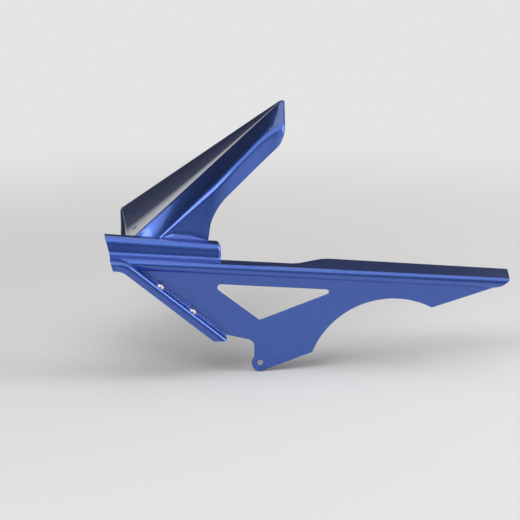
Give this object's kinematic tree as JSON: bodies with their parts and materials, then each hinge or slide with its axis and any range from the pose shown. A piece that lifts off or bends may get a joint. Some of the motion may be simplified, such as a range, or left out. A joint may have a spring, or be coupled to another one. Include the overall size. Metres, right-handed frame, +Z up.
{
  "type": "rear hugger mudguard",
  "caption": "One-piece rear hugger: a creased mudguard tongue over the tyre, a hose tunnel and a chain guard with a window, fixed by screws on a sloped ledge.",
  "frame": {"origin": "centre of the lug hole, on the outer face of the chain guard's side panel", "axes": "+X rearward along the machine, +Y inboard from the chain side towards the wheel, +Z up"},
  "size_m": [0.4751, 0.2649, 0.2955],
  "materials": {
    "blue_paint": "clear-coated metallic blue paint on ABS",
    "screw_steel": "bright zinc-plated steel"
  },
  "bodies": {
    "root": {"hugger_shell": "blue_paint", "ledge_screws": "screw_steel"}
  },
  "joints": []
}
